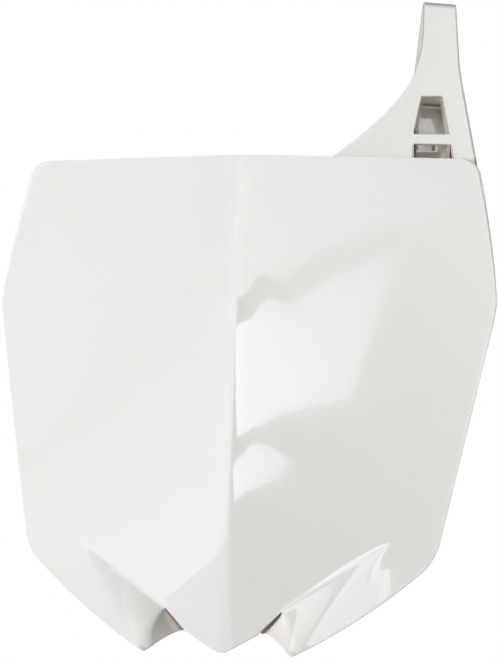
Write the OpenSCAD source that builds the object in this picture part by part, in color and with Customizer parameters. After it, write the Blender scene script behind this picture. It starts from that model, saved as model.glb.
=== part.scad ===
// Racing number board: one thin-walled moulding with two gills at its foot,
// a drop-shaped handlebar strap behind its top edge and a bolt shelf behind its tongue.
// The front looks along -Y, +Z is up, and the origin is the top of the bolt hole in the shelf.

/* [Board outline] */
// Width across the two widest corners.
board_w = 235; // [215:1:250]
// Height of the widest corners above the tongue tip.
waist_z = 163; // [140:1:180]
// Width across the two top corners.
top_w = 216; // [190:1:225]
// Height of the centre ridge, tongue tip to top edge.
ridge_h = 229; // [205:1:245]
// Extra height of the top corners over the ridge.
corner_rise = 5.7; // [0:0.5:12]
// Radius of the top corners.
corner_r = 7; // [3:0.5:12]
// Outward bow of the upper side edges.
side_bow = 1.2; // [0:0.1:4]
// Width across the lower corners, where the chamfers start.
foot_w = 184.6; // [160:0.2:200]
// Height of the lower corners above the tongue tip.
foot_z = 44.5; // [36:0.5:60]
// Wall of the whole moulding, measured front to back.
wall = 2.5; // [1.8:0.1:3.5]

/* [Ridge and sweep] */
// How far each panel leans back per millimetre of width, at the tongue tip.
lean_foot = 0.045; // [0:0.005:0.12]
// The same lean at the top corners.
lean_top = 0.2525; // [0.15:0.0025:0.35]
// Half width of the rounded centre ridge.
ridge_round = 3; // [1:0.5:6]

/* [Gills] */
// Distance of each gill's apex from the centre.
apex_x = 74.3; // [66:0.1:82]
// Height of each gill's apex above the tongue tip.
apex_z = 53.7; // [48:0.1:62]
// Distance of each gill's tip from the centre.
tip_x = 32; // [29:0.1:38]
// Height of each gill's tip above the tongue tip.
tip_z = 0; // [-2:0.1:4]
// How far each gill's tip stands forward of the ridge.
tip_forward = 11.1; // [6:0.1:16]
// Outward bow of the chamfered lower edges.
chamfer_bow = 2.3; // [0:0.1:5]
// Hollow of the gill's end edge.
gill_hollow = 2; // [0:0.1:3]

/* [Tongue] */
// Distance of the tongue's shoulder from the centre, where the gill begins.
shoulder_x = 26; // [22:0.5:28]
// Height of the tongue's shoulder.
shoulder_z = 19.8; // [17:0.1:23]
// Distance of the bend in the tongue's edge from the centre.
bend_x = 15.5; // [12:0.5:19]
// Height of the bend in the tongue's edge.
bend_z = 9.2; // [7:0.1:12]

/* [Strap] */
// Gap from the ridge line to the strap's front face, straight back.
strap_back = 6; // [5:0.5:8]
// Height of the strap's crown above the ridge's top.
strap_rise = 87; // [80:0.5:95]
// Left edge of the strap, measured along its own face.
strap_left = 83.9; // [80:0.1:90]
// Width of the strap.
strap_w = 16; // [14:0.5:20]
// Radius of the concave flare beside the strap.
flare_r = 60; // [50:1:66]
// Angle at which the left flare ends.
flare_angle = 45; // [38:1:50]
// Clear diameter of the loop, for a 22.2 mm handlebar.
loop_d = 23.6; // [23:0.1:26]
// Distance from the loop's centre up to the crown fold's centre.
loop_rise = 34; // [32:0.5:36]
// Inside radius of the crown fold.
fold_r = 0.7; // [0.5:0.1:1.5]

/* [Windows] */
// Middle of the windows, measured along the strap's face.
window_x = 88.8; // [86:0.1:92]
// Distance from the strap's crown down to the upper window.
window_drop = 49; // [46:0.5:54]
// Height of the upper window.
window_h = 18.7; // [14:0.1:20]
// Width of the upper window at its top.
window_top_w = 10.4; // [8:0.1:12]
// Width of the upper window at its foot.
window_foot_w = 17.4; // [15:0.1:19]
// Height of the bar between the windows.
bar_h = 5.2; // [4:0.1:7]
// Depth of the pocket behind the windows.
pocket_d = 11; // [8:0.5:14]

/* [Bolt shelf] */
// Distance of the bolt hole's axis behind the ridge line.
bolt_y = 22; // [18:0.5:28]
// Height of the shelf's top above the tongue tip.
shelf_z = 27; // [25:0.5:34]
// Width of the shelf.
shelf_w = 42; // [36:1:48]
// Diameter of the bolt hole, for an M6 bolt.
bolt_d = 6.5; // [6.2:0.1:7]
// Diameter of the boss round the bolt hole.
boss_d = 16; // [13:0.5:20]
// Length of the boss, which is also the length of the bolt hole.
boss_h = 6; // [4:0.5:8]

/* [Hidden] */
corner_z = ridge_h + corner_rise;
lean_angle = atan(lean_top);
ridge_cols = 9;
wing_cols = 4;
side_rows = 15;
corner_rows = 5;
gill_rows = 8;
tongue_rows = 5;
end_cols = 3;
tip_flat = 1.6;
blunt_w = 2.2;
blunt_z = 1.2;
strap_z = ridge_h + strap_rise;
window_top = strap_z - window_drop;
fold_out = fold_r + wall;
loop_r = loop_d / 2;
loop_out = loop_r + wall;
loop_z = strap_z - fold_out - loop_rise;
strap_right = strap_left + strap_w;
root_z = ridge_h - 10;
root_top = ridge_h;
$fn = 48;

// Lean of the panels at height z: it grows evenly from foot to top.
function lean(z) = lean_foot + (lean_top - lean_foot) * z / corner_z;

// Depth of the two main panels: a V with a rounded ridge.
function panel_y(x, z) = lean(z) * (sqrt(x * x + ridge_round * ridge_round) - ridge_round);
function on_panel(x, z) = [x, panel_y(x, z), z];
function mix(a, b, t) = a + (b - a) * t;

// Half width of the outline at height z, from the lower corner to the top corner.
function side_low(z) = mix(foot_w / 2, board_w / 2 + 0.6, (z - foot_z) / (waist_z - foot_z));
function side_high(z) = let (t = (z - waist_z) / (corner_z - waist_z))
    mix(board_w / 2 + 0.6, top_w / 2, t) + 4 * side_bow * t * (1 - t);
function soft_min(a, b) = (a + b) / 2 - sqrt((a - b) * (a - b) / 4 + 0.36);
function corner_cut(z) = let (h = z - corner_z + corner_r)
    h <= 0 ? 0 : corner_r - sqrt(max(0, corner_r * corner_r - h * h));
function half_w(z) = soft_min(side_low(z), side_high(z)) - corner_cut(z);

// Corner points of one side.
apex = on_panel(apex_x, apex_z);
foot = on_panel(half_w(foot_z), foot_z);
shoulder = on_panel(shoulder_x, shoulder_z);
tip = [tip_x, -tip_forward, tip_z];
tip_out = [tip_x + tip_flat, -tip_forward + 0.3, tip_z + tip_flat / 2];
end_top = shoulder + [-0.7, 3, -1.2];
end_foot = [16.8, 6, bend_z + 1.1];

// Columns across the upper panel, as shares of its half width.
share = apex[0] / foot[0];
cols = concat(
    [for (i = [0:ridge_cols]) share * pow(i / ridge_cols, 1.35)],
    [for (i = [1:wing_cols]) mix(share, 1, i / wing_cols)]);
last_col = len(cols) - 1;
edge_z = concat(
    [for (j = [0:side_rows]) mix(foot_z, corner_z - corner_r, j / side_rows)],
    [for (j = [1:corner_rows]) corner_z - corner_r + corner_r * sin(90 * j / corner_rows)]);

// Lower boundary of the upper panel: level from the ridge to the apex, then down to the lower corner.
function sill_z(i) = i <= ridge_cols ? apex_z : mix(apex_z, foot_z, (i - ridge_cols) / wing_cols);
function top_z(i) = ridge_h + corner_rise * cols[i];
upper = [for (z = edge_z) [for (i = [0:last_col])
    let (v = (z - foot_z) / (corner_z - foot_z), h = mix(sill_z(i), top_z(i), v))
    on_panel(cols[i] * half_w(z), h)]];

// Lower panel and tongue: the edge runs down the gill's valley, then along the tongue.
function eased(t) = 0.4 * t + 0.6 * t * t;
function valley(t) = let (x = mix(apex_x, shoulder_x, t), z = mix(apex_z, shoulder_z, t)) on_panel(x, z);
function tongue_edge(t) = t < 0.5
    ? [mix(shoulder_x, bend_x, 2 * t), mix(shoulder_z, bend_z, 2 * t)]
    : [mix(bend_x, blunt_w, 2 * t - 1), mix(bend_z, blunt_z, 2 * t - 1)];
lower_edge = concat(
    [for (j = [0:gill_rows]) [valley(j / gill_rows)[0], valley(j / gill_rows)[2]]],
    [for (j = [1:tongue_rows]) tongue_edge(j / tongue_rows)]);
lower = [for (e = lower_edge) [for (i = [0:ridge_cols])
    on_panel(e[0] * pow(i / ridge_cols, 1.35), e[1])]];

// Gill: a forward crest from apex to tip, a facet down to the valley and a wing out to the chamfer.
function crest(t) = [mix(apex[0], tip[0], t), mix(apex[1], tip[1], eased(t)), mix(apex[2], tip[2], t)];
function chamfer(t) = let (bow = 4 * chamfer_bow * t * (1 - t)) [
    mix(foot[0], tip_out[0], t) + 0.59 * bow,
    mix(foot[1], tip_out[1], eased(t)),
    mix(foot[2], tip_out[2], t) - 0.81 * bow];
wing = [for (j = [0:gill_rows]) let (t = j / gill_rows) [for (i = [0:wing_cols])
    j == 0 ? upper[0][ridge_cols + i] : mix(crest(t), chamfer(t), i / wing_cols)]];
facet = [for (j = [0:gill_rows]) let (t = j / gill_rows) [for (i = [0:wing_cols])
    let (w = i / wing_cols, hollow = 4 * gill_hollow * t * w * (1 - w))
    mix(valley(t), crest(t), w) + [0.8, 0, 0.6] * hollow]];

// End face of the gill, from the facet's last row back behind the tongue.
end_face = [for (k = [0:end_cols]) let (s = k / end_cols) [for (i = [0:wing_cols])
    let (w = i / wing_cols, sag = 3 * s * (1 - s) * w)
    mix(facet[gill_rows][i], mix(end_top, end_foot, w), s) + [0, 0, 1] * sag]];

// Triangles of a grid of points; turn flips their winding.
function grid_faces(g, turn) = [for (j = [0:len(g) - 2]) for (i = [0:len(g[0]) - 2])
    let (a = g[j][i], b = g[j][i + 1], c = g[j + 1][i + 1], d = g[j + 1][i])
    each (turn ? [[a, b, c], [a, c, d]] : [[a, c, b], [a, d, c]])];
function back(line) = [for (p = line) p + [0, wall, 0]];
function grid_back(g) = [for (row = g) back(row)];
function column(g, i) = [for (row = g) row[i]];
function rim(line, turn) = grid_faces([line, back(line)], turn);
function skin(g, turn) = concat(grid_faces(g, turn), grid_faces(grid_back(g), !turn));
function mirrored(tris) = [for (t = tris) [for (p = [t[0], t[2], t[1]]) [-p[0], p[1], p[2]]]];
function sound(tris) = [for (t = tris) if (t[0] != t[1] && t[1] != t[2] && t[2] != t[0]) t];

half_tris = concat(
    skin(upper, false),
    skin(lower, true),
    skin(wing, true),
    skin(facet, true),
    skin(end_face, true),
    rim(upper[len(upper) - 1], false),
    rim(column(upper, last_col), true),
    rim(column(wing, wing_cols), false),
    rim(wing[gill_rows], true),
    rim(column(end_face, wing_cols), false),
    rim(end_face[end_cols], true),
    rim(column(end_face, 0), true),
    rim([for (j = [gill_rows:gill_rows + tongue_rows]) lower[j][ridge_cols]], false),
    rim(lower[gill_rows + tongue_rows], true));
board_tris = sound(concat(half_tris, mirrored(half_tris)));

module board_shell() {
    polyhedron(
        points = [for (t = board_tris) each t],
        faces = [for (i = [0:len(board_tris) - 1]) [3 * i, 3 * i + 1, 3 * i + 2]],
        convexity = 8);
}

// The strap is drawn in its own frame: X along its face, Y into its depth, Z up.
module strap_frame() {
    translate([0, strap_back, 0])
        rotate([0, 0, lean_angle])
            children();
}

// Carries a drawing of the strap's face through the depths d0 to d1.
module through(d0, d1) {
    translate([0, d1, 0])
        rotate([90, 0, 0])
            linear_extrude(d1 - d0)
                children();
}

// Carries a side drawing across the strap from x0 to x1.
module across(x0, x1) {
    translate([x0, 0, 0])
        rotate([90, 0, 90])
            linear_extrude(x1 - x0)
                children();
}

// Face of the strap: a narrow leg that flares on both sides into the wide root.
flare_z = strap_z - strap_w;
lean_z = flare_z - 0.15 * flare_r;
bend_r = flare_r * 4 / 3;
left_flare = [for (k = [0:8]) let (a = flare_angle * k / 8)
    [strap_left - flare_r * (1 - cos(a)), flare_z - flare_r * sin(a)]];
left_end = left_flare[len(left_flare) - 1];
left_root = left_end + [-tan(flare_angle), -1] * (left_end[1] - ridge_h - 5);
right_flare = [for (a = [3.2:2:11.2])
    [strap_right + 1.3 + bend_r * (cos(3.2) - cos(a)), lean_z - bend_r * (sin(a) - sin(3.2))]];
right_end = right_flare[len(right_flare) - 1];
right_root = right_end + [tan(11.2), -1] * (right_end[1] - ridge_h - 5);

module strap_face(top) {
    polygon(concat(
        [[strap_right, top]],
        right_flare,
        [right_root, [right_root[0] - 2, root_z], [left_root[0], root_z], left_root],
        [for (i = [len(left_flare) - 1:-1:0]) left_flare[i]],
        [[strap_left, top]]));
}

// Drop shape round the handlebar and the crown fold, both tangent to the strap's face.
fold_center = [fold_out, loop_z + loop_rise];
loop_center = [loop_out, loop_z];
span = fold_center - loop_center;
span_angle = atan2(span[1], span[0]);
touch_angle = acos((loop_out - fold_out) / norm(span));
module drop(big, small) {
    polygon(concat(
        [for (k = [0:32]) let (a = span_angle + touch_angle + (360 - 2 * touch_angle) * k / 32)
            loop_center + big * [cos(a), sin(a)]],
        [for (k = [0:10]) let (a = span_angle - touch_angle + 2 * touch_angle * k / 10)
            fold_center + small * [cos(a), sin(a)]]));
}

module loop() {
    intersection() {
        across(strap_left + 0.5, strap_right + 1.1)
            difference() {
                drop(loop_out, fold_out);
                drop(loop_r, fold_r);
            }
        through(-1, 2 * loop_out + 2)
            strap_face(strap_z + 1);
    }
}

// The windows' sides widen downwards.
lower_top = window_top - window_h - bar_h;
lower_foot = ridge_h + 2;
module upper_window() {
    polygon([
        [window_x - window_top_w / 2, window_top],
        [window_x + window_top_w / 2, window_top],
        [window_x + window_foot_w / 2, window_top - window_h],
        [window_x - window_foot_w / 2, window_top - window_h]]);
}
module lower_window() {
    polygon([
        [window_x - window_foot_w / 2, lower_top],
        [window_x + window_foot_w / 2 + 1, lower_top],
        [window_x + window_foot_w / 2 + 2.2, lower_foot],
        [window_x - window_foot_w / 2, lower_foot]]);
}

// Pocket behind the windows: two side walls, a back wall with a lip, and a deep half-width catch.
pocket_back = wall + pocket_d;
pocket_half = window_foot_w / 2 + wall;
pocket_foot = ridge_h + 1;
lip_z = loop_z - loop_out - 0.4;
lip_d = 3;
catch_x = window_x - window_foot_w / 2 + 1;
catch_w = window_foot_w / 2;
catch_z = lower_top - 1.5;
catch_h = 7;
catch_d = 7;
module pocket_walls() {
    through(wall - 0.4, pocket_back)
        polygon([
            [window_x - pocket_half, pocket_foot],
            [window_x + pocket_half + 1.5, pocket_foot],
            [window_x + pocket_half, lip_z + 4],
            [window_x - pocket_half, lip_z + 4]]);
}
module pocket_room() {
    w0 = window_foot_w / 2 + 0.2;
    w1 = window_foot_w / 2 - 1.6;
    t0 = window_top_w / 2 + 0.2;
    t1 = window_top_w / 2 - 1.2;
    z0 = lip_z + 12;
    room_front = wall - 0.5;
    polyhedron(
        points = [
            [window_x - w0, room_front, pocket_foot - 1],
            [window_x + w0 + 2.2, room_front, pocket_foot - 1],
            [window_x + w0, room_front, window_top - window_h],
            [window_x + t0, room_front, window_top],
            [window_x + t0, room_front, z0],
            [window_x - t0, room_front, z0],
            [window_x - t0, room_front, window_top],
            [window_x - w0, room_front, window_top - window_h],
            [window_x - w1, pocket_back + 0.01, pocket_foot - 1],
            [window_x + w1 + 1, pocket_back + 0.01, pocket_foot - 1],
            [window_x + w1, pocket_back + 0.01, window_top - window_h],
            [window_x + t1, pocket_back + 0.01, window_top],
            [window_x + t1, pocket_back + 0.01, z0],
            [window_x - t1, pocket_back + 0.01, z0],
            [window_x - t1, pocket_back + 0.01, window_top],
            [window_x - w1, pocket_back + 0.01, window_top - window_h]],
        faces = concat(
            [[7, 6, 5, 4, 3, 2, 1, 0], [8, 9, 10, 11, 12, 13, 14, 15]],
            [for (i = [0:7]) let (n = (i + 1) % 8) each [[i, n, i + 8], [n, n + 8, i + 8]]]),
        convexity = 4);
}
module pocket_rear() {
    across(window_x - pocket_half, window_x + pocket_half)
        polygon([
            [pocket_back - 0.02, pocket_foot],
            [pocket_back + wall - 0.5, pocket_foot],
            [pocket_back + wall - 0.5, lip_z],
            [pocket_back - lip_d, lip_z],
            [pocket_back - lip_d, lip_z - 1],
            [pocket_back - 0.02, lip_z - 1]]);
    translate([catch_x - 1.8, pocket_back, catch_z - 1.8])
        cube([catch_w + 3.6, catch_d + 1.8, catch_h + 3.6]);
}
module catch_room() {
    translate([catch_x, pocket_back - 1, catch_z])
        cube([catch_w, catch_d + 1, catch_h]);
}
module root_block() {
    translate([left_root[0] + 1, -6.4, root_z])
        cube([right_root[0] - left_root[0] - 5, 6.4 + wall / 2, root_top - root_z]);
}

module strap() {
    difference() {
        through(0, wall)
            strap_face(fold_center[1]);
        through(-1, wall + 1)
            upper_window();
        through(-1, wall + 1)
            lower_window();
    }
    root_block();
    loop();
    difference() {
        pocket_walls();
        pocket_room();
    }
    difference() {
        pocket_rear();
        catch_room();
    }
}

// Shelf for the lower bolt, with a boss, two gussets and the wall that joins the gills.
module shelf() {
    translate([0, 0, shelf_z - wall])
        linear_extrude(wall)
            union() {
                polygon([
                    [-shelf_w / 2, 1.7],
                    [shelf_w / 2, 1.7],
                    [shelf_w / 2, 9],
                    [boss_d / 2 + 2, bolt_y],
                    [-boss_d / 2 - 2, bolt_y],
                    [-shelf_w / 2, 9]]);
                translate([0, bolt_y])
                    circle(d = boss_d + 4);
            }
    translate([0, bolt_y, shelf_z - boss_h])
        cylinder(d = boss_d, h = boss_h);
}
module gusset() {
    translate([shelf_w / 2 - wall - 0.5, 0, 0])
        rotate([90, 0, 90])
            linear_extrude(wall)
                polygon([[1.9, shelf_z - 1], [bolt_y - 9, shelf_z - 1], [2.8, shelf_z + 24]]);
}
module joining_wall() {
    translate([0, 8, 0])
        rotate([90, 0, 0])
            linear_extrude(wall)
                polygon([
                    [-shelf_w / 2, shelf_z - 1],
                    [-end_top[0] - 0.6, shelf_z - 1],
                    [-end_top[0] - 0.6, end_top[2] - 0.6],
                    [-end_foot[0] - 0.6, end_foot[2] - 0.4],
                    [-end_foot[0] + 2, end_foot[2] + 1.2],
                    [end_foot[0] - 2, end_foot[2] + 1.2],
                    [end_foot[0] + 0.6, end_foot[2] - 0.4],
                    [end_top[0] + 0.6, end_top[2] - 0.6],
                    [end_top[0] + 0.6, shelf_z - 1],
                    [shelf_w / 2, shelf_z - 1]]);
}

module number_board() {
    color([0.93, 0.93, 0.91])
        translate([0, -bolt_y, -shelf_z])
            difference() {
                union() {
                    board_shell();
                    strap_frame()
                        strap();
                    shelf();
                    gusset();
                    mirror([1, 0, 0])
                        gusset();
                    joining_wall();
                }
                translate([0, bolt_y, shelf_z - boss_h - 1])
                    cylinder(d = bolt_d, h = boss_h + 2);
            }
}

number_board();
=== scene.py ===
# %% [markdown]
# # A racing number board
# The board is one thin white moulding from the front of an off-road motorcycle.
# A shallow V shell carries the number, two gills stand forward at its foot, and a
# strap behind its top edge goes round the handlebar. This lesson builds each surface
# from a formula, gives it a wall, rounds its edges and lights it like a small studio.

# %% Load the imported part
import math
import bpy
import bmesh
import mathutils
import numpy as np
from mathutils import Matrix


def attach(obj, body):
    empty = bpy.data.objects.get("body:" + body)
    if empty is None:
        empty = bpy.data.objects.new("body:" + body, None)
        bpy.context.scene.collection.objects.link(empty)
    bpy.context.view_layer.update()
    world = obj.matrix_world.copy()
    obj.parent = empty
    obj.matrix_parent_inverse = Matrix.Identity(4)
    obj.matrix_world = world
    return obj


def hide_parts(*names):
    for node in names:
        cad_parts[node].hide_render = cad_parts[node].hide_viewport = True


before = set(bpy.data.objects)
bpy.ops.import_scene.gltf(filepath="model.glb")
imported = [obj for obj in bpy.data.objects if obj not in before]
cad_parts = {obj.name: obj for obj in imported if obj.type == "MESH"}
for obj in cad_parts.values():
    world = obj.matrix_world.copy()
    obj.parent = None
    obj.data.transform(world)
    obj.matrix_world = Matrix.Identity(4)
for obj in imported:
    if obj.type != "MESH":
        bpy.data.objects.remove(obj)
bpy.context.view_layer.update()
MM = 0.001                           # every shape below is drawn in millimetres
BOLT = np.array([0.0, 22.0, 27.0])   # the row frame's origin, as a place on the board
WALL = 2.5

# %% [markdown]
# ## Grids, walls and rims
# A moulding is a skin with a wall behind it. Every skin here is a grid of points, or a
# few grids that share their borders. They are welded by place, a second skin is laid
# one wall further back, and each open edge gets a strip that joins the two. A Bevel
# then rounds the rims, as a mould does.


# %% Weld grids into one skin
WELD_DIGITS, WELD_SHIFT = 3, 0.00027


def grid_quads(shape, start=0, keep=None):
    """Corners of every cell of a grid, row by row: (j, i), (j, i+1), (j+1, i+1), (j+1, i)."""
    rows, cols = shape
    index = start + np.arange(rows * cols).reshape(rows, cols)
    quads = np.stack([index[:-1, :-1], index[:-1, 1:], index[1:, 1:], index[1:, :-1]], -1)
    return quads[keep] if keep is not None else quads.reshape(-1, 4)


def weld(grids, flips, keeps=None, walls=None):
    """Joins grids: points that agree to a thousandth of a millimetre become one point.
    The small shift keeps round numbers such as 0 away from the borders between roundings.
    Where wall vectors are given, the welded points keep theirs as well."""
    points, quads, start = [], [], 0
    for number, grid in enumerate(grids):
        cells = grid_quads(grid.shape[:2], start, None if keeps is None else keeps[number])
        quads.append(cells[:, ::-1] if flips[number] else cells)
        points.append(grid.reshape(-1, 3))
        start += grid.shape[0] * grid.shape[1]
    points, quads = np.concatenate(points), np.concatenate(quads)
    places = np.round(points + WELD_SHIFT, WELD_DIGITS)
    _, first, same = np.unique(places, axis=0, return_index=True, return_inverse=True)
    if walls is None:
        return points[first], same.reshape(-1)[quads]
    walls = np.concatenate([w.reshape(-1, 3) for w in walls])
    return points[first], same.reshape(-1)[quads], walls[first]


# %% Give a skin its wall
def directed_edges(quads):
    """Every side of every face as a pair of points, in the face's own turning order."""
    pairs = np.concatenate([np.stack([quads[:, k], quads[:, (k + 1) % 4]], 1) for k in range(4)])
    return pairs[pairs[:, 0] != pairs[:, 1]]


def open_edges(pairs, count):
    """The edges that no other face walks the other way."""
    key = pairs[:, 0] * count + pairs[:, 1]
    back_key = pairs[:, 1] * count + pairs[:, 0]
    return pairs[~np.isin(key, back_key)]


def with_wall(points, quads, shift):
    """Front skin, the same skin moved by shift and turned over, and a strip along each
    open edge."""
    count = len(points)
    rim = open_edges(directed_edges(quads), count)
    strips = np.stack([rim[:, 1], rim[:, 0], rim[:, 0] + count, rim[:, 1] + count], 1)
    return (
        np.concatenate([points, points + shift]),
        np.concatenate([quads, quads[:, ::-1] + count, strips]),
    )


# %% Turn arrays into a finished piece
BEVEL_STEPS, SHARP_FROM = 3, math.radians(60.0)
SHELL_ROUND, STRAP_ROUND, RIB_ROUND, POCKET_ROUND, LIP_ROUND = 0.55, 0.5, 0.4, 0.35, 0.25
SAME_PLACE, NO_LENGTH = 2e-6, 1e-6


def link_mesh(name, mesh, material):
    """Puts a mesh with its material into the scene as an object."""
    mesh.materials.append(material)
    piece = bpy.data.objects.new(name, mesh)
    bpy.context.scene.collection.objects.link(piece)
    return piece


def make_piece(name, points, quads, material, bevel):
    """A mesh object in the row frame, in metres, with rounded rims and smooth shading."""
    mesh = bpy.data.meshes.new(name)
    quads = quads.tolist() if hasattr(quads, "tolist") else quads
    faces = [tuple(dict.fromkeys(q)) for q in quads]
    faces = [f for f in faces if len(f) > 2]
    mesh.from_pydata(((points - BOLT) * MM).tolist(), [], faces)
    shape = bmesh.new()
    shape.from_mesh(mesh)
    bmesh.ops.remove_doubles(shape, verts=shape.verts, dist=SAME_PLACE)
    bmesh.ops.dissolve_degenerate(shape, edges=shape.edges, dist=NO_LENGTH)
    loose = [v for v in shape.verts if not v.link_faces]
    bmesh.ops.delete(shape, geom=loose, context="VERTS")
    loose_edges = sum(1 for e in shape.edges if len(e.link_faces) != 2)
    shape.to_mesh(mesh)
    shape.free()
    piece = link_mesh(name, mesh, material)
    mesh.polygons.foreach_set("use_smooth", np.ones(len(mesh.polygons), bool))
    rounding = piece.modifiers.new("rounded_rims", "BEVEL")
    rounding.width = bevel * MM
    rounding.segments = BEVEL_STEPS
    rounding.limit_method = "ANGLE"
    rounding.angle_limit = SHARP_FROM
    rounding.use_clamp_overlap = True
    rounding.harden_normals = False
    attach(piece, "root")
    print(f"{name}: {len(mesh.polygons)} faces, {loose_edges} open edges")
    return piece


# %% [markdown]
# ## The plastic
# The board is injection-moulded polypropylene, white all through. It is glossy, but the
# gloss is not a perfect mirror: a very fine orange peel and a slow waviness bend it, and
# dust-fine wear changes how sharp it is. In the deep pockets light bounces from wall to
# wall and comes out warm; here that is painted shade, a redder and slightly darker colour
# mixed into the base colour wherever the plastic is closed in.
#
# Real plastic mirrors only 4% of what stands before it. A picture of few samples loses
# that, so this one mirrors about three times as much, and the cards below are dimmer
# by the same ratio.


# %% Nodes in one line
def new_material(name):
    """A material with nodes."""
    material = bpy.data.materials.new(name)
    material.use_nodes = True
    return material


def add_node(tree, kind, data_type=None, **inputs):
    """A new shader node with some inputs set. In their names _ stands for a space."""
    node = tree.nodes.new("ShaderNode" + kind)
    if data_type:
        node.data_type = data_type
    for name, value in inputs.items():
        node.inputs[name.replace("_", " ")].default_value = value
    return node


# %% White moulded plastic
# The second colour here is painted shade: a warmer, slightly darker white for closed-in places.
WHITE, PAINTED_SHADE_WARM = (0.80, 0.80, 0.79, 1), (0.88, 0.75, 0.67, 1)
MOTTLED = (*(0.985 * c for c in WHITE[:3]), 1)
# How far the occlusion looks, and the occlusion levels over which the painted shade fades out.
PAINTED_SHADE_REACH, PAINTED_SHADE_FADE = 0.012, (0.1, 0.75)
ROUGHNESS = (0.02, 0.03)
GLOSS = {"IOR": 1.49, "Specular IOR Level": 1.0, "Coat Weight": 1.0, "Coat IOR": 1.6,
         "Coat Roughness": 0.01}


def moulded_plastic(name):
    """Gloss plastic. Object coordinates drive a faint mottle, a roughness drift and two
    bumps; how closed in a place is drives a warm painted shade in the base colour."""
    material = new_material(name)
    tree, link = material.node_tree, material.node_tree.links.new
    shader = tree.nodes["Principled BSDF"]
    place = add_node(tree, "TexCoord")

    def noise(scale, detail):
        """A cloud pattern; a larger scale makes smaller clouds."""
        texture = add_node(tree, "TexNoise", Scale=scale, Detail=detail)
        link(place.outputs["Object"], texture.inputs["Vector"])
        return texture.outputs["Fac"]

    def spread(value, low, high):
        """Stretches the middle of a pattern, 0.3 to 0.7, from low to high."""
        node = add_node(tree, "MapRange", From_Min=0.3, From_Max=0.7, To_Min=low, To_Max=high)
        link(value, node.inputs["Value"])
        return node.outputs["Result"]

    mottle = add_node(tree, "Mix", "RGBA", A=MOTTLED, B=WHITE)
    link(spread(noise(900.0, 3.0), 0.0, 1.0), mottle.inputs["Factor"])
    # Painted shade: the occlusion mask mixes the warm colour into the base colour in pockets,
    # creases and gaps.
    deep = add_node(tree, "AmbientOcclusion", Distance=PAINTED_SHADE_REACH)
    deep.samples = 8
    depth = add_node(tree, "MapRange", From_Min=PAINTED_SHADE_FADE[0], From_Max=PAINTED_SHADE_FADE[1])
    link(deep.outputs["AO"], depth.inputs["Value"])
    painted_shade = add_node(tree, "Mix", "RGBA", A=PAINTED_SHADE_WARM)
    link(depth.outputs["Result"], painted_shade.inputs["Factor"])
    link(mottle.outputs["Result"], painted_shade.inputs["B"])
    link(painted_shade.outputs["Result"], shader.inputs["Base Color"])
    link(spread(noise(60.0, 4.0), *ROUGHNESS), shader.inputs["Roughness"])
    peel = add_node(tree, "Bump", Strength=0.05, Distance=0.00004)
    link(noise(1400.0, 2.0), peel.inputs["Height"])
    wave = add_node(tree, "Bump", Strength=0.02, Distance=0.0004)
    link(noise(22.0, 1.0), wave.inputs["Height"])
    link(peel.outputs["Normal"], wave.inputs["Normal"])
    link(wave.outputs["Normal"], shader.inputs["Normal"])
    for socket, value in GLOSS.items():
        shader.inputs[socket].default_value = value
    return material


PLASTIC = moulded_plastic("white_moulded_plastic")
print("material:", PLASTIC.name)

# %% [markdown]
# ## The shell's main surface
# Both panels lean back from a centre ridge, and lean more towards the top. Across the
# width the depth is a hyperbola: straight on the panels and round at the ridge, which
# is how a mould rounds a fold. The outline's half width comes from two side curves that
# meet at the widest corner.

# %% Main surface and outline
# Widths are whole widths, and heights are counted from the gills' tips.
BOARD_W, WAIST_Z, TOP_W = 235.0, 163.0, 216.0
RIDGE_H, CORNER_RISE, CORNER_R, SIDE_BOW = 229.0, 5.7, 7.0, 1.2
FOOT_W, FOOT_Z = 184.6, 44.5
LEAN_FOOT, LEAN_TOP, RIDGE_ROUND = 0.045, 0.2525, 3.0
WIDEST_SOFT = 0.6
CORNER_Z = RIDGE_H + CORNER_RISE


def lerp(a, b, t):
    """The point a share t of the way from a to b, where t may be a whole grid of shares."""
    a, b = np.asarray(a, float), np.asarray(b, float)
    t = np.asarray(t, float)
    return a + (b - a) * (t[..., None] if a.ndim or b.ndim else t)


def panel_y(x, z):
    """Lean at height z, times the hyperbola sqrt(x^2 + r^2) - r across the ridge."""
    lean = LEAN_FOOT + (LEAN_TOP - LEAN_FOOT) * z / CORNER_Z
    return lean * (np.sqrt(x * x + RIDGE_ROUND**2) - RIDGE_ROUND)


def on_panel(x, z):
    """Points of the main surface above the given places."""
    x, z = np.broadcast_arrays(np.asarray(x, float), np.asarray(z, float))
    return np.stack([x, panel_y(x, z), z], -1)


def half_w(z):
    """Half width: the smaller of two side curves, with their meeting softened, less the
    round of the top corner."""
    z = np.asarray(z, float)
    widest = BOARD_W / 2 + WIDEST_SOFT
    low = FOOT_W / 2 + (widest - FOOT_W / 2) * (z - FOOT_Z) / (WAIST_Z - FOOT_Z)
    t = (z - WAIST_Z) / (CORNER_Z - WAIST_Z)
    high = widest + (TOP_W / 2 - widest) * t + 4 * SIDE_BOW * t * (1 - t)
    soft = (low + high) / 2 - np.sqrt((low - high) ** 2 / 4 + WIDEST_SOFT**2)
    h = np.clip(z - CORNER_Z + CORNER_R, 0, CORNER_R)
    return soft - (CORNER_R - np.sqrt(CORNER_R**2 - h * h))


# %% Corners of one half
APEX = on_panel(74.3, 53.7)
FOOT = on_panel(half_w(FOOT_Z), FOOT_Z)
SHOULDER = on_panel(26.0, 19.8)
TIP = np.array([32.0, -11.1, 0.0])
TIP_OUT = TIP + [1.6, 0.3, 0.8]
END_TOP = SHOULDER + [-0.7, 3.0, -1.2]
END_FOOT = np.array([16.8, 6.0, 10.3])
BEND = (15.5, 9.2)
print("apex", APEX.round(1), "foot", FOOT.round(1), "shoulder", SHOULDER.round(1))

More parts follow.
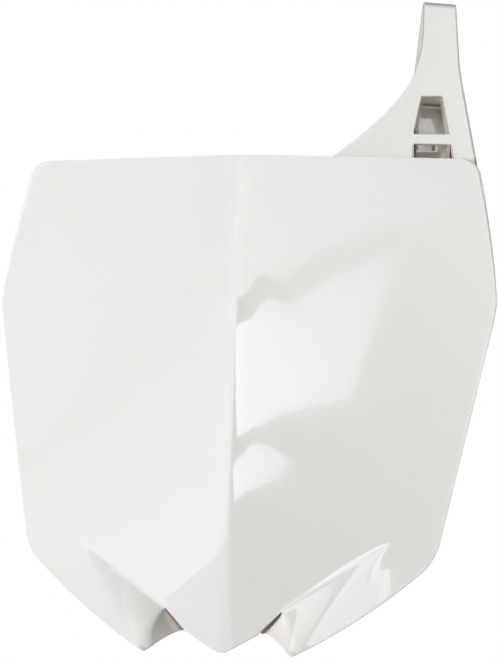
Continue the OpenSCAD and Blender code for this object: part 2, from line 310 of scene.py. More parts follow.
# %% [markdown]
# ## Upper panel
# A fan of columns runs from the gill's apex line up to the top edge. Each column is a
# share of the half width, so the sides and the round corners follow the outline.

# %% Upper panel grid
PANEL_COLS, WING_COLS, SIDE_ROWS, CORNER_ROWS = 34, 12, 70, 14
RIDGE_CROWD = 1.35   # a power above 1 crowds the columns where the ridge bends
FOOT_BAND, FOOT_ROWS = 10, 8
share = APEX[0] / FOOT[0]
panel_share = (np.arange(PANEL_COLS + 1) / PANEL_COLS) ** RIDGE_CROWD
col_share = np.concatenate([
    share * panel_share,
    share + (1 - share) * np.arange(1, WING_COLS + 1) / WING_COLS,
])
edge_z = np.concatenate([
    np.linspace(FOOT_Z, FOOT_Z + FOOT_BAND, FOOT_ROWS + 1)[:-1],
    np.linspace(FOOT_Z + FOOT_BAND, CORNER_Z - CORNER_R, SIDE_ROWS + 1),
    CORNER_Z - CORNER_R + CORNER_R * np.sin(np.linspace(0, math.pi / 2, CORNER_ROWS + 1))[1:],
])
sill = np.concatenate([
    np.full(PANEL_COLS + 1, APEX[2]),
    APEX[2] + (FOOT_Z - APEX[2]) * np.arange(1, WING_COLS + 1) / WING_COLS,
])
rise = ((edge_z - FOOT_Z) / (CORNER_Z - FOOT_Z))[:, None]
top_edge = RIDGE_H + CORNER_RISE * col_share
height = sill + (top_edge - sill) * rise
width = col_share * half_w(edge_z)[:, None]
print("upper panel:", width.shape, "points")

# %% [markdown]
# ## Gill
# From the apex the surface splits. A valley runs down to the tongue's shoulder and a
# crest runs forward to the gill's tip. Rows go from the apex to the end, and each row
# crosses panel, valley, facet, crest and wing. The crest is rounded further on, by
# averaging near the fold, as a mould would round it.


# %% Gill curves
CHAMFER_BOW, BOW_OUT, BOW_DOWN = 2.3, 0.59, 0.81
START_SLOPE = 0.4


def eased(t):
    """Starts gently and ends at full slope: the gill leaves the panel with no kink."""
    return START_SLOPE * t + (1 - START_SLOPE) * t * t


def valley(t):
    """Straight in outline from apex to shoulder, and lying on the main surface."""
    return on_panel(APEX[0] + (SHOULDER[0] - APEX[0]) * t,
                    APEX[2] + (SHOULDER[2] - APEX[2]) * t)


def crest(t):
    """Straight in outline from apex to tip, coming forward by the eased share."""
    return np.stack([APEX[0] + (TIP[0] - APEX[0]) * t,
                     APEX[1] + (TIP[1] - APEX[1]) * eased(t),
                     APEX[2] + (TIP[2] - APEX[2]) * t], -1)


def chamfer(t):
    """From lower corner to tip with an outward bow, coming forward by the eased share."""
    bow = 4 * CHAMFER_BOW * t * (1 - t)
    return np.stack([FOOT[0] + (TIP_OUT[0] - FOOT[0]) * t + BOW_OUT * bow,
                     FOOT[1] + (TIP_OUT[1] - FOOT[1]) * eased(t),
                     FOOT[2] + (TIP_OUT[2] - FOOT[2]) * t - BOW_DOWN * bow], -1)


# %% [markdown]
# ## Rounded lower corner
# Side and chamfer meet in a corner that the mould rounds. A quadratic curve replaces
# the last 9 mm of each, and the points inside follow it by their share of the wing.


# %% Round the lower corner
CORNER_L, UP_SIDE, ALONG_CHAMFER = 9.0, 5.0, 0.06
side_way = np.array([half_w(FOOT_Z + UP_SIDE) - half_w(FOOT_Z), UP_SIDE])
side_way = side_way / np.hypot(*side_way)
chamfer_way = (chamfer(np.array([ALONG_CHAMFER]))[0] - FOOT)[[0, 2]]
chamfer_way = chamfer_way / np.hypot(*chamfer_way)


def corner_shift(s):
    """How far the curve lies from the sharp outline, s millimetres past the corner. The
    curve is (1-u)^2 A + u^2 B about the corner, with A on the side, B on the chamfer."""
    u = np.clip((s + CORNER_L) / (2 * CORNER_L), 0, 1)[:, None]
    curve = (1 - u) ** 2 * CORNER_L * side_way + u**2 * CORNER_L * chamfer_way
    sharp = np.where(s[:, None] < 0, -s[:, None] * side_way, s[:, None] * chamfer_way)
    return np.where(np.abs(s[:, None]) < CORNER_L, curve - sharp, 0)


wing_weight = np.clip((col_share - share) / (1 - share), 0, 1)[None, :, None]
shift = corner_shift(-(edge_z - FOOT_Z) / side_way[1])[:, None] * wing_weight
upper = on_panel(width + shift[..., 0], height + shift[..., 1])
print("lower corner moves", np.abs(shift).max().round(2), "mm")

# %% Gill grids
GILL_ROWS, FACET_COLS, END_ROWS, TONGUE_ROWS = 44, 18, 12, 26
FACET_HOLLOW, HOLLOW_WAY = 2.0, np.array([0.8, 0.0, 0.6])
END_BULGE = 6.5
TONGUE_STOPS = [0, 0.5, 0.93, 1]
t_rows = np.linspace(0, 1, GILL_ROWS + 1)
w_facet = np.linspace(0, 1, FACET_COLS + 1)
w_wing = np.linspace(0, 1, WING_COLS + 1)
valley_line, crest_line, chamfer_line = valley(t_rows), crest(t_rows), chamfer(t_rows)
flat_row = 0 * panel_share
gill_panel = on_panel(valley_line[:, 0:1] * panel_share, valley_line[:, 2:3] + flat_row)
hollow = 4 * FACET_HOLLOW * t_rows[:, None] * (w_facet * (1 - w_facet))
every_row = 0 * t_rows[:, None]
facet = lerp(valley_line[:, None], crest_line[:, None], w_facet[None, :] + every_row)
facet = facet + hollow[..., None] * HOLLOW_WAY
wing = lerp(crest_line[:, None], chamfer_line[:, None], w_wing[None, :] + every_row)
steps = np.linalg.norm(np.diff(chamfer_line, axis=0), axis=1)
run = np.concatenate([[0], np.cumsum(steps)])
wing[..., [0, 2]] += corner_shift(run)[:, None] * w_wing[None, :, None]
wing[0] = upper[0, PANEL_COLS:]
tongue_t = np.linspace(0, 1, TONGUE_ROWS + 1)
tongue_x = np.interp(tongue_t, TONGUE_STOPS, [SHOULDER[0], BEND[0], 3.2, 1.3])
tongue_z = np.interp(tongue_t, TONGUE_STOPS, [SHOULDER[2], BEND[1], 2.1, 1.3])
tongue = on_panel(tongue_x[:, None] * panel_share, tongue_z[:, None] + flat_row)
end_s = np.linspace(0, 1, END_ROWS + 1)[:, None]
rear = lerp(END_TOP, END_FOOT, w_facet)
end_face = lerp(facet[-1][None], rear[None], end_s + 0 * w_facet)
end_face[..., 2] += END_BULGE * end_s * (1 - end_s) ** 0.7 * w_facet**2
print("gill rows:", GILL_ROWS, "end face:", end_face.shape[:2])

# %% [markdown]
# ## Rounding the gill's crest
# The crest and the end's edge are folds between two of these grids. A few passes of
# plain averaging over each welded point's neighbours, only within a millimetre or two
# of a fold, turn the sharp fold into a small radius and leave the rest alone.


# %% Soften the folds
SOFT_STEP = 0.5   # share of the way to the neighbours' mean in one pass


def near_line(points, line, reach):
    """1 on the line, falling to 0 at the given reach from its nearest point."""
    gap = np.sqrt(((points[:, None] - line[None]) ** 2).sum(-1)).min(1)
    return np.clip(1 - gap / reach, 0, 1)


def soften(points, pairs, weight, passes):
    """Each pass moves a point towards the mean of its neighbours, by its own weight."""
    pairs = np.concatenate([pairs, pairs[:, ::-1]])
    pairs = np.unique(pairs[pairs[:, 0] != pairs[:, 1]], axis=0)
    degree = np.bincount(pairs[:, 0], minlength=len(points))
    weight = np.where(degree > 0, weight, 0)[:, None] * SOFT_STEP
    for _ in range(passes):
        total = np.stack([np.bincount(pairs[:, 0], points[pairs[:, 1], k], len(points))
                          for k in range(3)], 1)
        points = points + (total / np.maximum(degree, 1)[:, None] - points) * weight
    return points


def mirrored(grid):
    """The other half: the same grid with x turned over."""
    return grid * np.array([-1.0, 1.0, 1.0])


def both(line):
    """A line of one half together with its mirror image."""
    return np.concatenate([line, mirrored(line)])


# %% The shell
TIP_REACH, TIP_PASSES = 5.0, 24
halves = [upper, gill_panel, facet, wing, tongue, end_face]
turned = [False, True, True, True, True, True]
grids = halves + [mirrored(g) for g in halves]
skin, cells = weld(grids, turned + [not f for f in turned])
pairs = directed_edges(cells)
rim_pairs = open_edges(pairs, len(skin))
tips = both(np.array([TIP, TIP_OUT]))
skin = soften(skin, rim_pairs, near_line(skin, tips, TIP_REACH), TIP_PASSES)
inside = np.ones(len(skin))
inside[np.unique(rim_pairs)] = 0
folds = ((crest_line, 5.5, 26), (facet[-1], 2.0, 6), (valley_line, 2.4, 6))
for fold, reach, passes in folds:
    skin = soften(skin, pairs, near_line(skin, both(fold), reach) * inside, passes)
walled = with_wall(skin, cells, np.array([0, WALL, 0]))
board = make_piece("board_shell", *walled, PLASTIC, SHELL_ROUND)
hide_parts("number_board")

# %% [markdown]
# ## Strap
# The strap is one band. It starts behind the panel, rises as the wide root, narrows
# into a leg, folds over at the crown and comes down behind to ring the handlebar.
# Its rows follow that path in the strap's own upright plane, and its columns run
# between the left and right edges, with two windows left out of the front leg.

# %% The strap's frame
STRAP_BACK, STRAP_Z, STRAP_L, STRAP_W = 6.0, 316.0, 83.9, 16.0
LEAN_ANGLE = math.atan(LEAN_TOP)
ACROSS = np.array([math.cos(LEAN_ANGLE), math.sin(LEAN_ANGLE), 0.0])
DEEP = np.array([-math.sin(LEAN_ANGLE), math.cos(LEAN_ANGLE), 0.0])
UP = np.array([0.0, 0.0, 1.0])


def strap_point(x, d, z):
    """A place across the strap, into its depth and up, carried into the board's frame."""
    x, d, z = [np.asarray(v, float)[..., None] for v in np.broadcast_arrays(x, d, z)]
    return x * ACROSS + d * DEEP + z * UP + np.array([0.0, STRAP_BACK, 0.0])


# %% Edges of the strap's face
FLARE_R, FLARE_END = 60.0, math.radians(39.0)
FLARE_Z = STRAP_Z - 16
SWEEP_SLOPE, SWEEP_CURVE = 0.793, 0.00757
BEND_A, BEND_B, BEND_R = math.radians(4.08), math.radians(11.0), 100.0
BEND_Z = STRAP_Z - 28
RIGHT_TRIM = 0.5
LEFT_ROOT, RIGHT_ROOT = 38.0, 111.0


def left_edge(z):
    """Upright, then an arc of 60 mm to 39 degrees, then a slow curve out to the root."""
    drop = np.clip(FLARE_Z - z, 0, None)
    turn = np.arcsin(np.clip(drop / FLARE_R, 0, math.sin(FLARE_END)))
    arc = FLARE_R * (1 - np.cos(turn))
    rest = np.clip(drop - FLARE_R * math.sin(FLARE_END), 0, None)
    sweep = rest * (SWEEP_SLOPE + SWEEP_CURVE * rest)
    return np.maximum(STRAP_L - arc - sweep, LEFT_ROOT)


def right_edge(z):
    """Nearly upright, then a flat arc of 100 mm, then straight at 11 degrees."""
    lean = math.tan(BEND_A) * np.clip(STRAP_Z - z, 0, STRAP_Z - BEND_Z)
    drop = np.clip(BEND_Z - z, 0, None)
    span = BEND_R * (math.sin(BEND_B) - math.sin(BEND_A))
    turn = np.arcsin(np.clip(drop, 0, span) / BEND_R + math.sin(BEND_A))
    arc = BEND_R * (math.cos(BEND_A) - np.cos(turn))
    line = np.clip(drop - span, 0, None) * math.tan(BEND_B)
    return np.minimum(STRAP_L + STRAP_W - RIGHT_TRIM + lean + arc + line, RIGHT_ROOT)


print("strap face at the root:", left_edge(235.0), right_edge(235.0))

# %% [markdown]
# ## Windows
# Two windows share their sides, which spread downwards. Four guide lines split each row
# of the leg: left edge, window's left side, window's right side, right edge.
# The cells between the middle two are left out where a window is.

# %% Front leg with windows
WIN_X, ROOT_Z = 88.8, RIDGE_H - 10
WIN_TOP, WIN_FOOT, LOW_TOP, LOW_FOOT = 267.23, 248.18, 243.12, RIDGE_H + 2
LOOP_R, FOLD_R, LOOP_RISE = 11.8, 0.7, 31.8
FOLD_Z = STRAP_Z - FOLD_R - WALL
LOOP_Z = FOLD_Z - LOOP_RISE
SIDE_STOPS = [LOW_FOOT, LOW_TOP, WIN_FOOT, WIN_TOP, 300]
TILT_STOPS = [ROOT_Z, LOW_FOOT, LOW_TOP, WIN_FOOT, WIN_TOP, 286]
TILT_REACH = 10


def window_left(z):
    """The sloping left side of the windows, upright below the bar."""
    return np.interp(z, SIDE_STOPS, [80.6, 80.3, 80.04, 83.5, 88.2])


def window_right(z):
    """The right side, spreading downwards all the way."""
    return np.interp(z, SIDE_STOPS, [101.0, 98.5, 97.63, 93.75, 92.8])


def tilt(z):
    """Slope of the windows' level edges: the right end stands a little higher."""
    return np.interp(z, TILT_STOPS, [0, 0.054, 0.054, 0.073, 0.068, 0])


stops = [ROOT_Z, LOW_FOOT, LOW_TOP, WIN_FOOT, WIN_TOP, FLARE_Z, FOLD_Z]
counts = [6, 7, 4, 10, 20, 6]
leg_z = np.concatenate([
    np.linspace(a, b, n, endpoint=False)
    for a, b, n in zip(stops, stops[1:], counts)] + [[FOLD_Z]])
part_cols = [14, 8, 6]
guides = [left_edge(leg_z - TILT_REACH * tilt(leg_z)), window_left(leg_z),
          window_right(leg_z), right_edge(leg_z + TILT_REACH * tilt(leg_z))]
leg_x = np.concatenate([
    a[:, None] + (b - a)[:, None] * np.linspace(0, 1, n, endpoint=False)
    for a, b, n in zip(guides, guides[1:], part_cols)] + [guides[3][:, None]], 1)
aside = np.clip(leg_x - WIN_X, -TILT_REACH, TILT_REACH)
leg_h = leg_z[:, None] + tilt(leg_z)[:, None] * aside
mid_z = (leg_z[1:] + leg_z[:-1]) / 2
in_low_window = (mid_z > LOW_FOOT) & (mid_z < LOW_TOP)
open_row = in_low_window | ((mid_z > WIN_FOOT) & (mid_z < WIN_TOP))
open_col = np.zeros(sum(part_cols), bool)
open_col[part_cols[0]:part_cols[0] + part_cols[1]] = True
solid = ~(open_row[:, None] & open_col[None, :])
leg = strap_point(leg_x, 0.0, leg_h)
print("front leg:", leg.shape[:2], "cells left out:", int((~solid).sum()))

# %% [markdown]
# ## Crown and loop
# Seen from the side the loop is a drop: a circle for the handlebar, a tight fold at the
# top and two straight lines that touch both. The band's back leg follows it round and
# ends against the front leg.

# %% The drop-shaped path
LOOP_END = 0.62   # radians short of a full turn, where the band meets the front leg
fold_at = np.array([FOLD_R + WALL, FOLD_Z])
loop_at = np.array([LOOP_R + WALL, LOOP_Z])
span = fold_at - loop_at
lay = math.atan2(span[1], span[0])
touch = math.acos((loop_at[0] - fold_at[0]) / math.hypot(*span))
fold_turn = np.linspace(math.pi, lay - touch, 15)
loop_turn = np.linspace(lay - touch, math.pi + LOOP_END - 2 * math.pi, 46)
line_share = np.linspace(0, 1, 14)[1:-1, None]
outer_fold = fold_at + (FOLD_R + WALL) * np.stack([np.cos(fold_turn), np.sin(fold_turn)], 1)
outer_loop = loop_at + (LOOP_R + WALL) * np.stack([np.cos(loop_turn), np.sin(loop_turn)], 1)
outer_line = outer_fold[-1] + (outer_loop[0] - outer_fold[-1]) * line_share
path = np.concatenate([outer_fold, outer_line, outer_loop])
turns = np.concatenate([fold_turn, np.full(len(outer_line), lay - touch), loop_turn])
inward = -np.stack([np.cos(turns), np.sin(turns)], 1)
print("loop path points:", len(path))

# %% The band
LEFT_TRIM, TRIM_STOPS, BAND_SPREAD = [0.9, 0.1], [285, FOLD_Z], 1.1
band_left = STRAP_L + np.interp(path[:, 1], TRIM_STOPS, LEFT_TRIM)
band_right = np.minimum(right_edge(path[:, 1]), STRAP_L + STRAP_W + BAND_SPREAD)
at_fold = (leg_x[-1] - leg_x[-1, 0]) / (leg_x[-1, -1] - leg_x[-1, 0])
band_x = band_left[:, None] + (band_right - band_left)[:, None] * at_fold
band_x[0] = leg_x[-1]
band = strap_point(band_x, path[:, 0:1], path[:, 1:2])
band_wall = inward[:, 0:1, None] * DEEP + inward[:, 1:2, None] * UP
band_wall = np.broadcast_to(WALL * band_wall, band.shape)
leg_wall = np.broadcast_to(WALL * DEEP, leg.shape)
whole = np.ones((len(path) - 1, band.shape[1] - 1), bool)
skin, cells, wall = weld([leg, band], [False, False], [solid, whole], [leg_wall, band_wall])
strap = make_piece("strap_band", *with_wall(skin, cells, wall), PLASTIC, STRAP_ROUND)

# %% [markdown]
# ## Pocket behind the windows
# Behind the windows the real strap has a shallow open box, so that the loop's end can
# hook in. Its cheeks draw together towards the back, because a mould has to pull out.
# Each wall is a loft: a ring of corners carried through a few stations, capped at both
# ends, which is the simplest closed surface that can taper.


# %% Lofts
def loft(rings, capped=True):
    """Rings of equal length joined in order. Each ring closes on itself. The two ends get
    caps, or else the last ring joins the first."""
    rings = np.asarray(rings, float)
    rows, cols = rings.shape[:2]
    index = np.arange(rows * cols).reshape(rows, cols)
    after = np.roll(index, -1, 1)
    quads = np.stack([index[:-1], after[:-1], after[1:], index[1:]], -1).reshape(-1, 4).tolist()
    if capped:
        quads += [index[0, ::-1].tolist(), index[-1].tolist()]
    else:
        quads += np.stack([index[-1], after[-1], after[0], index[0]], -1).tolist()
    return rings.reshape(-1, 3), quads


def face_outwards(piece):
    """Turns the faces of a closed piece outwards, and gives its volume in cubic metres."""
    shape = bmesh.new()
    shape.from_mesh(piece.data)
    bmesh.ops.recalc_face_normals(shape, faces=shape.faces)
    if shape.calc_volume(signed=True) < 0:
        bmesh.ops.reverse_faces(shape, faces=shape.faces)
    volume = shape.calc_volume(signed=True)
    shape.to_mesh(piece.data)
    shape.free()
    return volume


# %% Pocket cheeks
POCKET_BACK, LIP_D = WALL + 11.0, 3.0
POCKET_FOOT, LIP_Z = RIDGE_H + 1, 266.1
SUNK, PAST = 0.4, 0.3   # how far the cheeks go into the leg and past the pocket's back
OUTER_LEFT, OUTER_RIGHT = WIN_X - 11.5, WIN_X + 13.2
DRAW_LEFT, DRAW_RIGHT = 4.2, 0.7   # how far in the inner faces reach at the back
INNER_D, GROOVE_D = WALL + 1.2, WALL + 5.0
GROOVE_EDGE, GROOVE_DRAFT = 0.3, 0.1
cheek_z = np.linspace(POCKET_FOOT, LIP_Z + 3, 25)


def cheek(sign):
    """Stations of a cheek: outer side, back, inner face, then a narrow groove beside the
    window. The inner face starts at the window's side and reaches the pocket's back
    further in."""
    if sign < 0:
        outer, side = OUTER_LEFT, window_left(cheek_z)
        back = side + DRAW_LEFT
        step = np.interp(cheek_z, [WIN_FOOT, WIN_FOOT + 6], [1.7, 0.1])
    else:
        outer, side = OUTER_RIGHT, window_right(cheek_z)
        back = side + DRAW_RIGHT
        step = np.interp(cheek_z, [238, LOW_TOP], [1.4, 0.0])
    edge, groove = side - sign * step, side + sign * GROOVE_EDGE
    corners = [(outer, WALL - SUNK), (outer, POCKET_BACK + PAST), (back, POCKET_BACK + PAST),
               (edge, INNER_D), (edge + sign * GROOVE_DRAFT, GROOVE_D), (groove, GROOVE_D),
               (groove, WALL - SUNK)]
    return np.stack([strap_point(x, d, cheek_z) for x, d in corners], 1)


for label, sign in (("left", -1), ("right", 1)):
    piece = make_piece(f"pocket_cheek_{label}", *loft(cheek(sign)), PLASTIC, POCKET_ROUND)
    print("volume", round(face_outwards(piece) * 1e6, 2), "cm3")

# %% Pocket back with its catch
POCKET_HALF, CATCH_WALL = 11.2, 1.8
PLATE_D, CATCH_D, CATCH_END = POCKET_BACK + 2, POCKET_BACK + 7, POCKET_BACK + 8.8
RAIL_FRONT, RAIL_LEFT, RAIL_RIGHT = -6.4, LEFT_ROOT + 1, RIGHT_ROOT - 4
catch_x0, catch_x1, catch_z0, catch_z1 = 84.1, 93.2, 244.5, 250.5


def upright_ring(x0, x1, z0, z1, d):
    """A rectangle across the strap at depth d."""
    return strap_point(np.array([x0, x1, x1, x0]), d, np.array([z0, z0, z1, z1]))


outer_box = (catch_x0 - CATCH_WALL, catch_x1 + CATCH_WALL,
             catch_z0 - CATCH_WALL, catch_z1 + CATCH_WALL)
catch_box = (catch_x0, catch_x1, catch_z0, catch_z1)
pocket_sides = (WIN_X - POCKET_HALF, WIN_X + POCKET_HALF)
plate = (*pocket_sides, POCKET_FOOT, LIP_Z)
rings = [upright_ring(*catch_box, CATCH_D), upright_ring(*catch_box, POCKET_BACK),
         upright_ring(*plate, POCKET_BACK), upright_ring(*plate, PLATE_D),
         upright_ring(*outer_box, PLATE_D), upright_ring(*outer_box, CATCH_END)]
pocket = make_piece("pocket_back", *loft(rings), PLASTIC, POCKET_ROUND)
print("volume", round(face_outwards(pocket) * 1e6, 2), "cm3")
lip = [upright_ring(*pocket_sides, LIP_Z - 1, LIP_Z, d)
       for d in (POCKET_BACK - LIP_D, POCKET_BACK + 1)]
face_outwards(make_piece("pocket_lip", *loft(lip), PLASTIC, LIP_ROUND))
rail = [upright_ring(RAIL_LEFT, RAIL_RIGHT, ROOT_Z, RIDGE_H, d)
        for d in (RAIL_FRONT, WALL / 2)]
face_outwards(make_piece("strap_root", *loft(rail), PLASTIC, STRAP_ROUND))

# %% [markdown]
# ## Bolt shelf
# The lower bolt of a number board goes up through a small shelf behind the tongue. It
# is drawn as rings round the bolt's axis: bore, top, rim, underside, boss and bore
# again. Two gussets carry it, and a wall joins the ends of the gills.

# %% Shelf, boss and bore
SHELF_Z, SHELF_W, BOSS_R, BORE_R = 27.0, 42.0, 8.0, 3.25
BOLT_Y, BOSS_FOOT, BORE_STEPS = 22, SHELF_Z - 6, 144
SHELF_FRONT, SHELF_SIDE, NOSE_HALF = 1.7, 9, 10   # where the shelf starts, narrows, ends
EDGE_ON = 1e-9   # a side that a ray runs along is never hit
angles = np.linspace(0, 2 * math.pi, BORE_STEPS + 1)[:-1]
ways = np.stack([np.cos(angles), np.sin(angles)], 1)
outline = np.array([[-SHELF_W / 2, SHELF_FRONT], [SHELF_W / 2, SHELF_FRONT],
                    [SHELF_W / 2, SHELF_SIDE], [NOSE_HALF, BOLT_Y], [-NOSE_HALF, BOLT_Y],
                    [-SHELF_W / 2, SHELF_SIDE]])
outline = outline - [0, BOLT_Y]
sides = np.roll(outline, -1, 0) - outline
normals = np.stack([sides[:, 1], -sides[:, 0]], 1)
reach = (normals * outline).sum(1)
toward = ways @ normals.T
with np.errstate(divide="ignore", invalid="ignore"):
    hits = np.where(toward > EDGE_ON, reach / toward, np.inf)
rim = np.maximum(np.clip(hits.min(1), 0, None), BOSS_R + 2)


def ring_at(radius, z):
    """A ring round the bolt's axis; the radius may change with the angle."""
    radius = np.broadcast_to(radius, angles.shape)
    x, y = ways[:, 0] * radius, ways[:, 1] * radius + BOLT_Y
    return np.stack([x, y, np.full(len(angles), z)], 1)


shelf_rings = [ring_at(BORE_R, SHELF_Z), ring_at(BOSS_R + 1.9, SHELF_Z),
               ring_at(rim, SHELF_Z), ring_at(rim, SHELF_Z - WALL),
               ring_at(BOSS_R, SHELF_Z - WALL), ring_at(BOSS_R, BOSS_FOOT),
               ring_at(BORE_R, BOSS_FOOT)]
shelf = make_piece("bolt_shelf", *loft(shelf_rings, capped=False), PLASTIC, RIB_ROUND)
print("volume", round(face_outwards(shelf) * 1e6, 2), "cm3")

# %% Gussets and joining wall
GUSSET_SIDES, JOIN_SIDES = (18.0, 20.5), (5.5, 8.0)   # across, and front to back
JOIN_HALF, JOIN_TOP, TUCK = 21.0, 26.0, 0.6
triangle = np.array([[1.9, SHELF_Z - 1], [13.0, SHELF_Z - 1], [2.8, SHELF_Z + 24]])
for label, sign in (("left", -1), ("right", 1)):
    stations = [np.column_stack([np.full(3, sign * x), triangle]) for x in GUSSET_SIDES]
    face_outwards(make_piece(f"gusset_{label}", *loft(stations), PLASTIC, RIB_ROUND))
half_wall = np.array([[JOIN_HALF, JOIN_TOP], [END_TOP[0] + TUCK, JOIN_TOP],
                      [END_TOP[0] + TUCK, END_TOP[2] - TUCK],
                      [END_FOOT[0] + TUCK, END_FOOT[2] - 0.4],
                      [END_FOOT[0] - 2, END_FOOT[2] + 1.2]])
outline = np.concatenate([half_wall, half_wall[::-1] * [-1, 1]])
stations = [np.column_stack([outline[:, 0], np.full(len(outline), y), outline[:, 1]])
            for y in JOIN_SIDES]
face_outwards(make_piece("joining_wall", *loft(stations), PLASTIC, RIB_ROUND))
for label, piece in (("strap", strap), ("board", board)):
    print(label, "volume", round(face_outwards(piece) * 1e6, 1), "cm3")

# %% [markdown]
# ## Look
# The picture is a catalogue shot from a little below and to the right: a white sweep,
# soft lamps, and glowing cards that only the gloss shows. The camera's place was worked
# out from mirror pairs of points in the photograph.

# %% Camera
AZ, EL, ROLL, FAR = math.radians(9.0), math.radians(-12.16), math.radians(2.49), 0.754
SENSOR_WIDTH, FOCAL_LENGTH = 36.0, 119.86
look_at = np.array([0.0064, -0.022, 0.1188])
to_camera = np.array([math.sin(AZ) * math.cos(EL), -math.cos(AZ) * math.cos(EL), math.sin(EL)])
right = np.array([math.cos(AZ), math.sin(AZ), 0.0])
upward = np.array([-math.sin(AZ) * math.sin(EL), math.cos(AZ) * math.sin(EL), math.cos(EL)])
cam_x = right * math.cos(ROLL) + upward * math.sin(ROLL)
cam_y = upward * math.cos(ROLL) - right * math.sin(ROLL)
lens = bpy.data.cameras.new("catalogue_camera")
lens.sensor_fit = "HORIZONTAL"
lens.sensor_width = SENSOR_WIDTH
lens.lens = FOCAL_LENGTH
camera = bpy.data.objects.new("catalogue_camera", lens)
bpy.context.scene.collection.objects.link(camera)
turn = np.eye(4)
turn[:3, 0], turn[:3, 1], turn[:3, 2] = cam_x, cam_y, to_camera
turn[:3, 3] = look_at + FAR * to_camera
camera.matrix_world = mathutils.Matrix(turn.tolist())
bpy.context.scene.camera = camera
print("camera at", turn[:3, 3].round(4))


# %% Floor
FLOOR_HALF, FLOOR_Z = 2, -0.2
PAPER, PAPER_ROUGHNESS = (0.74, 0.72, 0.68, 1), 0.9


def flat_piece(name, corners, material):
    """One flat face through its corners, as part of the stage."""
    mesh = bpy.data.meshes.new(name)
    mesh.from_pydata(corners, [], [tuple(range(len(corners)))])
    piece = link_mesh(name, mesh, material)
    return piece


paper = new_material("white_sweep")
surface = paper.node_tree.nodes["Principled BSDF"].inputs
surface["Base Color"].default_value = PAPER
surface["Roughness"].default_value = PAPER_ROUGHNESS
flat_piece("floor", [(x * FLOOR_HALF, y * FLOOR_HALF, FLOOR_Z)
                     for x, y in ((-1, -1), (1, -1), (1, 1), (-1, 1))], paper)

# %% [markdown]
# ## Lamps
# Three soft boxes light the white evenly. The strong one stands low on the left, so the
# left panel is the paler one. They are kept out of the gloss, which has the cards.


# %% Soft boxes
AIM = (0, 0, 0.12)


def lamp(name, at, size, power, color):
    """A rectangular soft box that faces the board."""
    light = bpy.data.lights.new(name, "AREA")
    light.shape = "RECTANGLE"
    light.size, light.size_y = size
    light.energy = power
    light.color = color
    piece = bpy.data.objects.new(name, light)
    bpy.context.scene.collection.objects.link(piece)
    piece.location = at
    way = mathutils.Vector(AIM) - mathutils.Vector(at)
    piece.rotation_euler = way.to_track_quat("-Z", "Y").to_euler()
    piece.visible_glossy = False


LAMPS = {
    "left": ((-1.4, -0.45, 0.1), (0.9, 0.9), 4.435, (0.739, 0.87, 1.0)),
    "low_left": ((-0.9, -1.1, -0.08), (0.5, 0.22), 17.171, (1.0, 0.963, 0.955)),
    "back": ((0.6, 1.3, 0.7), (0.9, 0.9), 8.08, (1.0, 0.99, 0.98)),
}
for name, (at, size, power, color) in LAMPS.items():
    lamp(name, at, size, power, color)
print("lamps:", *LAMPS)

# %% [markdown]
# ## Cards
# What a glossy thing shows is its surroundings. The cards stand for a room: a wall on the
# left with a paler part, a wall that brightens to the right, a ceiling, and in front of
# them the sky, a pane and a small pool of light. Each place of the board mirrors one
# place of the cards, and that is how the outlines of the last three were found.


# %% A glowing card
CARD_Y = -1.4


def card(name, outline, back, near, low, far, high, color):
    """A flat card in front of the board, behind the camera, which only reflections show.

    outline is the card's edge as (x, z) points, and back is how far it stands behind
    CARD_Y. The glow runs evenly from low at the point near to high at the point far."""
    step = np.array([far[0] - near[0], 0.0, far[1] - near[1]])
    step = step / (step @ step)
    start = float(step @ np.array([near[0], 0.0, near[1]]))
    material = new_material(name)
    tree, link = material.node_tree, material.node_tree.links.new
    tree.nodes.clear()
    place = add_node(tree, "TexCoord")
    along = add_node(tree, "VectorMath")
    along.operation = "DOT_PRODUCT"
    along.inputs[1].default_value = step.tolist()
    level = add_node(tree, "MapRange", From_Min=start, From_Max=start + 1.0,
                     To_Min=low, To_Max=high)
    glow = add_node(tree, "Emission", Color=(*color, 1))
    output = add_node(tree, "OutputMaterial")
    link(place.outputs["Object"], along.inputs[0])
    link(along.outputs["Value"], level.inputs["Value"])
    link(level.outputs["Result"], glow.inputs["Strength"])
    link(glow.outputs["Emission"], output.inputs["Surface"])
    piece = flat_piece(name, [(x, CARD_Y - back, z) for x, z in outline], material)
    piece.visible_camera = False
    piece.visible_diffuse = False


# %% The room of cards
LEFT = [(-1.9, -0.1), (-0.1, -0.1), (-0.1, 1.5), (-1.9, 1.5)]
GLOW = [(-0.98, 0.2), (-0.6, 0.12), (-0.17, 0.15), (-0.15, 0.4), (-0.17, 0.68), (-0.6, 0.72),
        (-0.86, 0.7), (-1.0, 0.45)]
ROOM = [(-0.1, 0.09), (1.1, 0.09), (1.1, 1.25), (-0.1, 1.25)]
HIGH = [(-2.2, 1.25), (2.2, 1.25), (2.2, 2.8), (-2.2, 2.8)]
SKY = [(-0.2, 0.47), (0.12, 0.475), (0.26, 0.495), (0.375, 0.554), (0.84, 1.02), (0.95, 1.2),
       (-0.2, 1.2)]
PANE = [(-0.16, 0.42), (0.06, 0.426), (0.19, 0.436), (0.25, 0.451), (0.35, 0.517),
        (0.6, 0.769), (0.335, 0.466), (0.24, 0.377), (0.173, 0.318), (0.118, 0.289),
        (0.036, 0.276)]
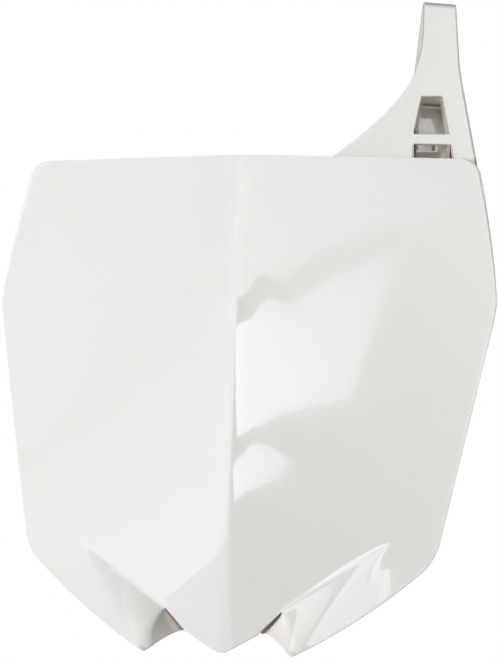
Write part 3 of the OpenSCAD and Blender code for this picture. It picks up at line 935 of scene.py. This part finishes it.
POOL = [(-0.066, 0.235), (0.09, 0.26), (0.186, 0.312), (0.14, 0.265), (0.096, 0.229),
        (0.044, 0.204), (-0.017, 0.193)]
CARDS = {
    "left_wall": (LEFT, 0.1, (-1.9, 0.4), 0.0, (-0.35, 0.4), 0.738, (0.65, 0.76, 1.0)),
    "left_glow": (GLOW, 0.0, (-1.0, 0.4), 0.1, (-0.5, 0.4), 1.5, (0.76, 0.78, 0.88)),
    "room": (ROOM, 0.1, (0.0, 0.4), 0.25, (1.0, 0.4), 2.8, (1.0, 0.98, 0.95)),
    "sky": (SKY, 0.05, (0.0, 0.5), 1.75, (0.6, 0.9), 2.3, (0.97, 0.97, 1.0)),
    "pane": (PANE, 0.0, (0.0, 0.35), 2.8, (0.5, 0.65), 2.5, (0.88, 0.89, 0.95)),
    "pool": (POOL, 0.0, (0.0, 0.2), 2.4, (0.18, 0.3), 2.4, (0.83, 0.84, 0.9)),
    "high": (HIGH, 0.1, (-1.0, 1.5), 1.219, (1.0, 1.5), 0.939, (1.0, 0.99, 0.995)),
}
for name, settings in CARDS.items():
    card(name, *settings)
print("cards:", *CARDS)

# %% [markdown]
# ## World
# The camera sees plain white behind the board. Everything else sees a weak grey that
# fills the shadows.

# %% White backdrop and weak fill
BACKDROP, FILL, FILL_LEVEL = (1, 1, 1, 1), (0.934, 1.0, 0.93, 1), 0.25
world = bpy.data.worlds.new("studio")
world.use_nodes = True
bpy.context.scene.world = world
tree, link = world.node_tree, world.node_tree.links.new
tree.nodes.clear()
seen = add_node(tree, "Background", Color=BACKDROP)
fill = add_node(tree, "Background", Color=FILL, Strength=FILL_LEVEL)
rays = add_node(tree, "LightPath")
blend = add_node(tree, "MixShader")
output = add_node(tree, "OutputWorld")
link(rays.outputs["Is Camera Ray"], blend.inputs["Fac"])
link(fill.outputs["Background"], blend.inputs[1])
link(seen.outputs["Background"], blend.inputs[2])
link(blend.outputs["Shader"], output.inputs["Surface"])
bpy.context.scene.view_settings.view_transform = "Standard"
